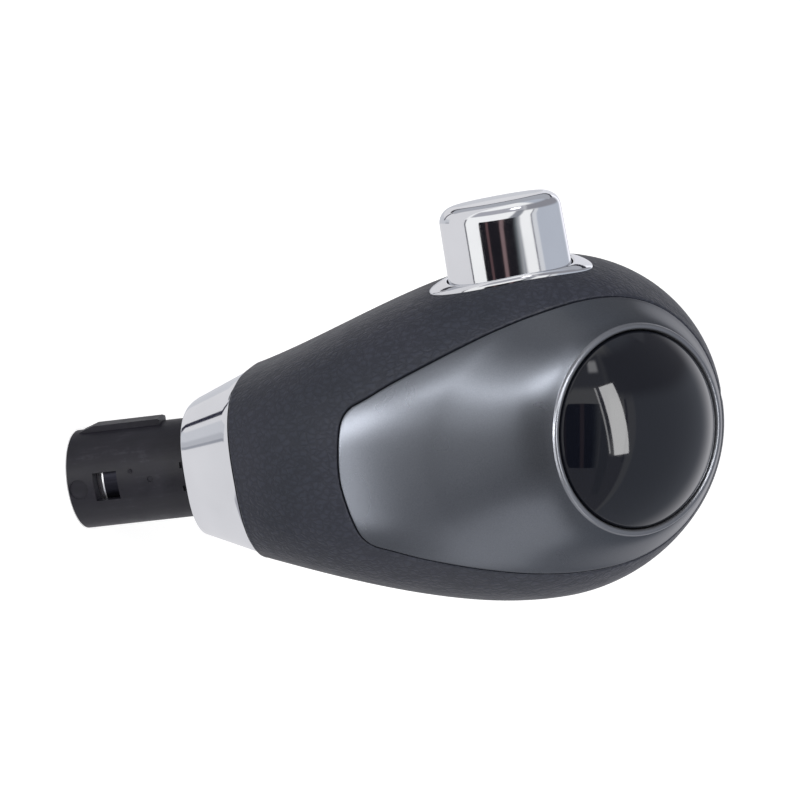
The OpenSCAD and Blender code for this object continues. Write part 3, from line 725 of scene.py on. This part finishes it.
def build_stitches():
    """Two rows of thread, one on each side of the seam; each stitch ends inside the cover."""
    pitch, half_long, thick, points = 3.3, 1.25, 0.27, 9
    t = np.linspace(-1, 1, points)
    rad = thick * np.sqrt(np.clip(1 - t**4, 0.04, 1))
    high = -0.3 + 0.18 * (1 - t**2)
    q = around(10)
    verts, faces = [], []
    fine = np.linspace(SEAM_FROM, STITCH_TO, 1500)
    for x in (-STITCH_AWAY, STITCH_AWAY):
        line = seam_point(x, fine)
        s = lengths(line)
        for i in range(int((s[-1] - 2) / pitch)):
            at = 1.5 + pitch * (i + 0.5) + np.linspace(-half_long, half_long, points)
            mid = seam_point(x, np.interp(at, s, fine))
            nrm = normal_at(mid)
            across = np.cross(unit(np.gradient(mid, axis=0)), nrm)
            rings = [mid[k] + nrm[k] * high[k]
                     + rad[k] * (np.cos(q)[:, None] * across[k] + np.sin(q)[:, None] * nrm[k])
                     for k in range(points)]
            v, f = turned_loft(rings, capped=True)
            base = sum(len(w) for w in verts)
            verts.append(v)
            faces += [tuple(base + j for j in g) for g in f]
    return mesh_from("seam_stitches", np.concatenate(verts), faces, "knob", M["thread"],
                     60)


def build_leather():
    """Cover from the panel's edge to the neck, its lining, the seam and the hole for the ring."""
    cols = 360
    xp = outline_curve(SEAM_GAP, cols)
    edge = on_face(xp)
    nrm, out = edge_frame(edge)
    inset = on_face(face_xp(edge + out * COVER_ROUND))
    phi_o, tau_o = to_polar(inset)
    half = cols // 2
    # angles run from the front, -90 degrees, to the back on both sides
    phi_o = np.unwrap(phi_o)
    phi_o += -np.pi / 2 - phi_o[0]
    sign = 1.0 if phi_o[half // 2] > -np.pi / 2 else -1.0
    # at the neck they lie evenly round it, but never nearer to the front than at the opening
    part = np.arange(cols) / half
    even = -np.pi / 2 + sign * np.pi * part
    from_o, from_e = np.abs(phi_o - phi_o[0]), np.abs(even - phi_o[0])
    away = np.where(part <= 1, np.maximum(from_o, from_e), np.minimum(from_o, from_e))
    turn, pad, kern = 2 * np.pi, 20, np.ones(15) / 15
    wrapped = np.concatenate([away[-pad:] - turn, away, away[:pad] + turn])
    phi_n = phi_o[0] + sign * np.convolve(wrapped, kern, "same")[pad:-pad]
    tau_n = float(tau_of(np.array(NECK_Z + NECK_ROUND)))

    def skin_row(s):
        return polar_point(phi_o + (phi_n - phi_o) * s, tau_o + (tau_n - tau_o) * s)

    # rounded edge at the opening, from its wall up to the skin
    outer = [edge - nrm * SKIN_T]
    for a in np.radians([90, 72, 54, 36, 18]):
        outer.append(edge + out * COVER_ROUND * (1 - math.sin(a))
                     - nrm * COVER_ROUND * (1 - math.cos(a)))
    start = len(outer)
    outer += [skin_row(s) for s in np.linspace(0, 1, 111)]
    skin_rows = len(outer)
    # end at the neck, turned in
    end = outer[-1]
    flat = normal_at(end)
    flat[:, 2] = 0
    flat = unit(flat)
    for a in np.radians([20, 40, 60, 80, 90]):
        outer.append(end - flat * NECK_ROUND * (1 - math.cos(a))
                     - np.array([0, 0, NECK_ROUND * math.sin(a)]))
    outer.append(end - flat * SKIN_T - np.array([0, 0, NECK_ROUND]))
    inner = []
    for s in np.linspace(1, 0, 28):
        p = skin_row(s)
        inner.append(p - normal_at(p) * SKIN_T)
    verts, faces = loft(outer + inner, loop=True)
    # the seam draws in the skin and the first four rows of its turned-in end
    skin = slice(start * cols, (skin_rows + 4) * cols)
    verts[skin] -= seam_sink(verts[skin])[:, None] * normal_at(verts[skin])
    # hole for the trim ring: faces inside go, vertices at its rim move onto it, and the ring
    # closes the wall between the outer and inner skins
    loc = button_local(verts)
    a, b = RING_A + HOLE_GAP, RING_B + HOLE_GAP
    g = ((np.abs(loc[:, 0]) / a) ** RING_N + (np.abs(loc[:, 1]) / b) ** RING_N) ** (1 / RING_N)
    inside = (g < 1) & (verts[:, 0] < 0)
    kept = [q for q in faces if not all(inside[i] for i in q)]
    rim = {i for q in kept for i in q if inside[i]}
    for i in rim:
        y, z = button_yz(loc[i] / g[i])
        depth = side_x(verts[i][1], verts[i][2]) + verts[i][0]
        verts[i] = (-side_x(y, z) + depth, y, z)
    used = sorted({i for q in kept for i in q})
    index = {v: k for k, v in enumerate(used)}
    faces = [tuple(index[i] for i in q) for q in kept]
    obj = mesh_from("leather_skin", verts[used], faces, "knob", M["leather"], 60)
    bm = bmesh.new()
    bm.from_mesh(obj.data)
    bmesh.ops.recalc_face_normals(bm, faces=bm.faces)
    bm.to_mesh(obj.data)
    bm.free()
    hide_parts("leather_cover")
    return obj


# Dome

def build_dome():
    """Part of a ball over a short skirt, hollow below."""
    ball = (DOME_R**2 + DOME_H**2) / (2 * DOME_H)
    ring_dir = dome_ring(around(160))
    foot = -2.1
    prof = [(DOME_R, foot), (DOME_R, -0.25), (DOME_R - 0.04, -0.1), (DOME_R - 0.12, 0.03)]
    top = math.asin((DOME_R - 0.15) / ball)
    for k in np.linspace(1, 0, 44, endpoint=False):
        a = top * k
        prof.append((ball * math.sin(a), DOME_H - ball + ball * math.cos(a)))
    under = [(1.5, 4.7), (8, 2.9), (DOME_R - 2, -0.3), (DOME_R - 2, foot)]
    rings = [DOME_C + r * ring_dir + h * DOME_N for r, h in under + prof]
    verts, faces = turned_loft(rings, capped=True)
    obj = mesh_from("dome_lens", verts, faces, "knob", M["dome_gloss"], 60)
    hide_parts("dome_cap")
    return obj


# Button and trim ring

# The button's half sizes, the height of its face, its rounding, crown and draft, and its foot.
BTN_A, BTN_B, BTN_FACE, BTN_ROUND, BTN_CROWN, BTN_DRAFT = 10.5, 6.3, 40.2, 2.8, 0.12, 0.015
CAP_LOW, CAP_EDGE, RING_SLIP = 23.8, 0.3, 0.2


def build_bezel():
    """Ring that follows the form; its profile is (way from outer to inner edge, height)."""
    ang = around(240)
    outer = squircle(RING_A, RING_B, RING_N, ang)
    inner = squircle(BTN_A + RING_SLIP, BTN_B + RING_SLIP, BTN_N, ang)
    prof = [(0, -1.5), (0, 0.0), (0.01, 0.1), (0.03, 0.19), (0.07, 0.27), (0.14, 0.35),
            (0.26, 0.45), (0.45, 0.56), (0.65, 0.63), (0.84, 0.65), (0.92, 0.61), (0.97, 0.52),
            (1.0, 0.38), (1.0, -3.2), (0.3, -3.2), (0.3, -1.5)]
    rings = []
    for w, h in prof:
        y, z = button_yz(outer + (inner - outer) * w)
        rings.append(np.stack([-(side_x(y, z) + h), y, z], -1))
    verts, faces = turned_loft(rings, loop=True)
    obj = mesh_from("button_trim", verts, faces, "knob", M["chrome_trim"], 50)
    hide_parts("button_bezel")
    return obj


def build_cap():
    """Button shell: inside, wall, rounded shoulder and slightly crowned face."""
    ang = around(240)

    def ring(out, inset):
        less = inset + (out - CAP_LOW) * BTN_DRAFT
        y, z = button_yz(squircle(BTN_A - less, BTN_B - less, BTN_N, ang))
        return np.stack([np.full(y.shape, -float(out)), y, z], -1)

    rings = [ring(BTN_FACE - 1.9, 3.0), ring(BTN_FACE - 2.6, 1.7), ring(CAP_LOW, 1.6),
             ring(CAP_LOW, 0.15), ring(CAP_LOW + CAP_EDGE, 0)]
    top = BTN_FACE - BTN_ROUND
    for k in np.linspace(0, 1, 12)[1:-1]:
        rings.append(ring(CAP_LOW + CAP_EDGE + (top - CAP_LOW - CAP_EDGE) * k, 0))
    for a in np.radians(np.linspace(0, 86, 18)):
        rings.append(ring(top + (BTN_ROUND - BTN_CROWN) * math.sin(a),
                          BTN_ROUND * (1 - math.cos(a))))
    last = rings[-1]
    mid = last.mean(0)
    mid[0] = -BTN_FACE
    h0 = -last[0][0]
    for k in (0.9, 0.75, 0.6, 0.45, 0.3, 0.15):
        r = mid + (last - mid) * k
        r[:, 0] = -(h0 + (BTN_FACE - h0) * (1 - k * k))
        rings.append(r)
    verts, faces = turned_loft(rings, capped=True)
    obj = mesh_from("button_cap_shell", verts, faces, "button", M["chrome_trim"], 50)
    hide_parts("button_cap")
    return obj


# Collar

# The foot's height, half width, half depth and squareness, the step in from the neck, the walls.
COLLAR_Z, COLLAR_W, COLLAR_D, COLLAR_N, COLLAR_STEP = NECK_Z - 10.8, 11.4, 12.1, 2.67, 0.45
COLLAR_T, COLLAR_FLOOR, COLLAR_BORE, FOOT_ROUND = 1.8, 1.6, 8.57, 0.3


def build_collar():
    """Tapered shell with a rounded rim and foot and a floor round the stem."""
    ang = around(240)

    def ring(z, t):
        k = (z - COLLAR_Z) / (NECK_Z - COLLAR_Z)
        w = COLLAR_W + (NECK_W - COLLAR_STEP - COLLAR_W) * k
        d = COLLAR_D + (NECK_D - COLLAR_STEP - COLLAR_D) * k
        n = COLLAR_N + (NECK_N - COLLAR_N) * k
        q = squircle(w - t, d - t, n, ang)
        return np.stack([q[:, 0], q[:, 1] + NECK_Y * k, np.full(len(q), z)], -1)

    top = NECK_Z - 0.2
    rings = [ring(COLLAR_Z + COLLAR_FLOOR, COLLAR_T), ring(top, COLLAR_T), ring(top, 0.6),
             ring(top - 0.05, 0.3), ring(top - 0.2, 0.1), ring(top - 0.5, 0.0)]
    for z in np.linspace(top - 0.5, COLLAR_Z + FOOT_ROUND, 12)[1:]:
        rings.append(ring(z, 0))
    for a in np.radians([20, 40, 60, 80, 90]):
        rings.append(ring(COLLAR_Z + FOOT_ROUND - FOOT_ROUND * math.sin(a),
                          0.25 * (1 - math.cos(a))))
    low = np.stack([COLLAR_BORE * np.cos(ang), COLLAR_BORE * np.sin(ang),
                    np.full(len(ang), COLLAR_Z)], -1)
    rings += [low, low + np.array([0, 0, COLLAR_FLOOR])]
    verts, faces = turned_loft(rings, loop=True)
    obj = mesh_from("collar_shell", verts, faces, "knob", M["chrome_trim"], 40)
    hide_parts("neck_collar")
    return obj


# Springs

def coil(name, base, axis, radius, wire, height, turns):
    """Spring from base along axis, with closed ends; wire is its radius."""
    axis = np.array(axis, float)
    u = unit(np.cross(axis, [0.3, 1, 0.2]))
    v = np.cross(axis, u)
    per_turn, flat_end = 36, 26
    steps = int(turns * per_turn)
    q = around(14)
    rings = []
    for i in range(steps + 1):
        a = 2 * np.pi * i / per_turn
        k = min(1, max(0, (i - flat_end) / (steps - 2 * flat_end)))
        mid = np.array(base, float) + axis * (wire + (height - 2 * wire) * k)
        radial = u * math.cos(a) + v * math.sin(a)
        rings.append(mid + (radius + wire * np.cos(q))[:, None] * radial
                     + (wire * np.sin(q))[:, None] * axis)
    verts, faces = turned_loft(rings, capped=True)
    return mesh_from(name, verts, faces, "knob", M["spring_steel"], 60)


plunger_low, plunger_high = 38.05, 54.95
plunger_coil = coil("plunger_coil", (0, 0, plunger_low), (0, 0, 1), radius=4, wire=0.45,
                    height=plunger_high - plunger_low, turns=7)
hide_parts("plunger_spring")
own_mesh(plunger_coil)
coil_x0, coil_x1 = -8.95, 12.95
button_coil = coil("button_coil", (coil_x0, BAR_Y, BAR_Z), (1, 0, 0), radius=3, wire=0.4,
                   height=coil_x1 - coil_x0, turns=8)
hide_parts("button_spring")
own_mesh(button_coil)

panel = build_panel()
build_leather()
build_stitches()
dome = build_dome()
polished = [build_bezel(), build_cap(), build_collar()]

# Floor, world and lights

def stage_sheet(name, corner, far_corner, material, place):
    """A flat rectangle of the stage, between two corners in the plane of place."""
    (x0, y0), (x1, y1) = corner, far_corner
    me = bpy.data.meshes.new(name)
    me.from_pydata([(x0, y0, 0), (x1, y0, 0), (x1, y1, 0), (x0, y1, 0)], [], [(0, 1, 2, 3)])
    me.materials.append(material)
    obj = bpy.data.objects.new(name, me)
    obj.matrix_world = place
    bpy.context.scene.collection.objects.link(obj)
    return obj


def surface(nt):
    """The surface socket of a material's output."""
    return next(n for n in nt.nodes if n.type == "OUTPUT_MATERIAL").inputs[0]


def floor_material():
    """Dull near-white; for the camera it glows a little, so that it is as white as the tent."""
    mat, nt, bsdf = new_material("floor_white")
    bsdf.inputs["Roughness"].default_value = 0.9
    bsdf.inputs["Specular IOR Level"].default_value = 0.0
    col = ramp(nt, noise(nt, object_coord(nt), 3, 2.0),
               [(0.3, (0.79, 0.79, 0.79)), (0.7, (0.81, 0.81, 0.81))])
    nt.links.new(col, bsdf.inputs["Base Color"])
    path = nt.nodes.new("ShaderNodeLightPath")
    glow = nt.nodes.new("ShaderNodeEmission")
    nt.links.new(remap(nt, path.outputs["Is Camera Ray"], 0.0, 0.5, 0.0, 1.0), glow.inputs[1])
    add = nt.nodes.new("ShaderNodeAddShader")
    nt.links.new(bsdf.outputs[0], add.inputs[0])
    nt.links.new(glow.outputs[0], add.inputs[1])
    nt.links.new(add.outputs[0], surface(nt))
    return mat


# in metres; the floor lies a hair below the part
FLOOR_HALF, FLOOR_DROP = 3, 0.0002
floor = stage_sheet("floor", (-FLOOR_HALF, -FLOOR_HALF), (FLOOR_HALF, FLOOR_HALF),
                    floor_material(), Matrix.Translation((0, 0, -FLOOR_DROP)))
# reflections and the low lamps go past the floor, which still takes the object's shadow
floor.visible_glossy = False
floor.visible_shadow = False

# What polished metal and the dome reflect: a white tent with darker and brighter fields. A field
# is a range across and a range up, in degrees from the direction to_cam, its softness and colour.
TENT, DIFFUSE_GREY = (1.0, 1.0, 1.0), (0.55, 0.55, 0.55)
FIELDS = [
    # the side from below, which the collar shows
    ((-200, -36), (-90, 90), 6, (0.75, 0.745, 0.77)),
    ((-200, -84), (1, 22), 2, (0.62, 0.63, 0.67)),
    ((-104, -84), (4, 10), 3, (0.50, 0.51, 0.55)),
    ((-104, -84), (1, 4), 1.2, (0.34, 0.35, 0.39)),
    ((-119, -112), (15, 60), 1, (0.03, 0.03, 0.05)),
    # the side from above, which the dome's far half and the button's right side show
    ((38, 46), (-90, 90), 2, (0.72, 0.73, 0.76)),
    ((46, 200), (-90, 90), 3, (0.50, 0.53, 0.60)),
    ((24, 140), (22, 60), 12, (0.29, 0.29, 0.32)),
    ((-30, 24), (30, 60), 6, (0.42, 0.42, 0.46)),
    ((134, 200), (-90, 90), 26, (1.2, 1.2, 1.27)),
    ((150, 200), (-90, 90), 6, (0.80, 0.80, 0.85)),
    # below the dark card and right of it
    ((-30, 40), (-90, -25), 3, (0.36, 0.36, 0.40)),
    ((-80, -30), (-90, -28), 4, (0.40, 0.40, 0.44)),
    ((15, 24.5), (-60, 30), 3, (0.28, 0.29, 0.32)),
    # thin dark lines beside the button's stripes and along its top
    ((-36.5, -33.5), (-30, 20), 0.8, (0.15, 0.15, 0.17)),
    ((37.5, 39.5), (-30, 20), 0.8, (0.25, 0.25, 0.28)),
    ((100, 200), (51, 90), 3, (0.42, 0.43, 0.47)),
    ((-200, -100), (51, 90), 3, (0.42, 0.43, 0.47)),
    ((125, 200), (45, 51), 0.8, (0.03, 0.03, 0.04)),
    ((-200, -125), (45, 51), 0.8, (0.03, 0.03, 0.04)),
    # what the dome shows beside its band of light
    ((8, 18), (44, 54), 4, (3.2, 3.2, 3.3)),
]


def tent_world():
    """The tent as polished and glossy surfaces see it; plain light for everything else."""
    world = bpy.data.worlds.new("studio")
    bpy.context.scene.world = world
    world.use_nodes = True
    nt = world.node_tree
    nt.nodes.clear()
    direction = nt.nodes.new("ShaderNodeTexCoord").outputs["Generated"]

    def math_node(kind, a, b=None):
        n = nt.nodes.new("ShaderNodeMath")
        n.operation = kind
        for k, v in enumerate((a, b)):
            if isinstance(v, (int, float)):
                n.inputs[k].default_value = v
            elif v is not None:
                nt.links.new(v, n.inputs[k])
        return n.outputs[0]

    def along(axis):
        return vector_math(nt, "DOT_PRODUCT", direction, axis)["Value"]

    def edge(value, at, soft):
        n = nt.nodes.new("ShaderNodeMapRange")
        n.interpolation_type = "SMOOTHSTEP"
        n.inputs["From Min"].default_value = at - soft / 2
        n.inputs["From Max"].default_value = at + soft / 2
        nt.links.new(value, n.inputs[0])
        return n.outputs[0]

    def within(value, start, end, soft):
        return math_node("SUBTRACT", edge(value, start, soft), edge(value, end, soft))

    degrees = 180 / math.pi
    across = math_node("MULTIPLY", math_node("ARCTAN2", along(cam_right), along(to_cam)), degrees)
    up = math_node("MULTIPLY", math_node("ARCSINE", along(cam_up)), degrees)
    colour = TENT
    for sideways, upwards, soft, rgb in FIELDS:
        inside = math_node("MULTIPLY", within(across, *sideways, soft), within(up, *upwards, soft))
        colour = mix_colour(nt, inside, colour, rgb)
    path = nt.nodes.new("ShaderNodeLightPath")
    # plain white for the camera and through glass, an even grey for diffuse light
    seen = math_node("MAXIMUM", path.outputs["Is Camera Ray"], path.outputs["Is Transmission Ray"])
    even = mix_colour(nt, seen, DIFFUSE_GREY, TENT)
    bg = nt.nodes.new("ShaderNodeBackground")
    nt.links.new(mix_colour(nt, path.outputs["Is Glossy Ray"], even, colour), bg.inputs[0])
    out = nt.nodes.new("ShaderNodeOutputWorld")
    nt.links.new(bg.outputs[0], out.inputs[0])


tent_world()


def toward(across, up):
    """World direction of a place in the tent, in degrees from to_cam."""
    a, b = math.radians(across), math.radians(up)
    return (cam_right * math.sin(a) + to_cam * math.cos(a)) * math.cos(b) + cam_up * math.sin(b)


def softbox(name, target, start, end, width, distance, radiance):
    """A flat lamp from one tent direction to another, seen from target, width in degrees."""
    p, q = (target + toward(*d) * distance for d in (start, end))
    mid = (p + q) / 2
    out = (mid - target).normalized()
    long_axis = (q - p).normalized()
    wide = long_axis.cross(out).normalized()
    out = wide.cross(long_axis)
    data = bpy.data.lights.new(name, "AREA")
    data.shape = "RECTANGLE"
    data.size = 2 * distance * math.tan(math.radians(width / 2))
    data.size_y = (q - p).length
    data.energy = radiance * math.pi * data.size * data.size_y
    obj = bpy.data.objects.new(name, data)
    obj.matrix_world = frame_matrix(mid, wide, long_axis, out)
    obj.visible_camera = False
    bpy.context.scene.collection.objects.link(obj)
    return obj


# every lamp is placed as seen from the heart of the head
heart = Vector((0, -0.01, 0.075))
dome_lamps = [
    # the band that the dome shows, and its edge
    softbox("strip", heart, (24, 32), (37, -23), 12, 0.8, 9.0),
    softbox("strip_edge", heart, (13.5, 30), (26.5, -23), 1.2, 0.8, 4.0),
]
panel_lamps = [
    # the highlight across the satin panel
    softbox("panel_left", heart, (-60, -9), (-42, 5), 12, 0.5, 18.5),
    softbox("panel_mid", heart, (-38, 9), (-8, 23), 5, 0.5, 15.5),
    softbox("panel_top", heart, (-9, 23), (13, 30), 8, 0.5, 20.0),
    softbox("low_left", heart, (-58, -45), (-52, -14), 14, 0.5, 6.0),
]
soft_lamps = [
    # fill on the leather, the stem and the panel
    softbox("low_soft", heart, (-45, -65), (25, -65), 40, 0.7, 1.9),
    softbox("side_soft", heart, (-60, -4), (30, 30), 26, 0.7, 1.6),
]


def link_lamps(lamps, name, pieces, state):
    """The lamps light only these pieces, or all but these."""
    group = bpy.data.collections.new(name)
    for piece in pieces:
        group.objects.link(piece)
    for item in group.collection_objects:
        item.light_linking.link_state = state
    for lamp in lamps:
        lamp.light_linking.receiver_collection = group


# polished metal shows the tent alone, and the dome the tent and its own band of light
link_lamps(dome_lamps, "polished_metal", polished, "EXCLUDE")
link_lamps(panel_lamps, "satin_panel", [panel], "INCLUDE")
link_lamps(soft_lamps, "polished_metal_and_dome", polished + [dome], "EXCLUDE")

# a dark card towards the camera, which the dome and the button reflect between white fields, in mm
CARD_LEFT, CARD_RIGHT, CARD_LOW, CARD_HIGH, CARD_NEAR = -27.2, 21.0, -44.0, 25.5, 54.0
CARD_FROM = Vector((0, -25, 93))


def dark_card():
    """Upright stripes of black and brown that fade out to the right."""
    mat, nt, bsdf = new_material("card_dark")
    shine = nt.nodes.new("ShaderNodeEmission")
    split = nt.nodes.new("ShaderNodeSeparateXYZ")
    nt.links.new(object_coord(nt), split.inputs[0])
    black, brown, pale = (0.012, 0.011, 0.015), (0.11, 0.065, 0.07), (0.22, 0.15, 0.155)
    stops = [(CARD_LEFT, black), (-17, black), (-16, brown), (-13.5, brown), (-12.5, black),
             (0.5, black), (1.5, pale), (4.4, pale), (5.4, black), (12.5, black),
             (15.5, (0.10, 0.11, 0.12)), (CARD_RIGHT, (0.45, 0.46, 0.48))]
    place = remap(nt, split.outputs[0], 0.0, 1.0, CARD_LEFT * MM, CARD_RIGHT * MM)
    width = CARD_RIGHT - CARD_LEFT
    stops = [((v - CARD_LEFT) / width, c) for v, c in stops]
    nt.links.new(ramp(nt, place, stops), shine.inputs[0])
    nt.links.new(shine.outputs[0], surface(nt))
    nt.nodes.remove(bsdf)
    at = (CARD_FROM + to_cam * CARD_NEAR) * MM
    card = stage_sheet("dark_card", (CARD_LEFT * MM, CARD_LOW * MM),
                       (CARD_RIGHT * MM, CARD_HIGH * MM), mat,
                       frame_matrix(at, cam_right, cam_up, to_cam))
    card.visible_camera = card.visible_diffuse = False
    card.visible_transmission = card.visible_shadow = False


dark_card()

bpy.context.scene.view_settings.view_transform = "Standard"
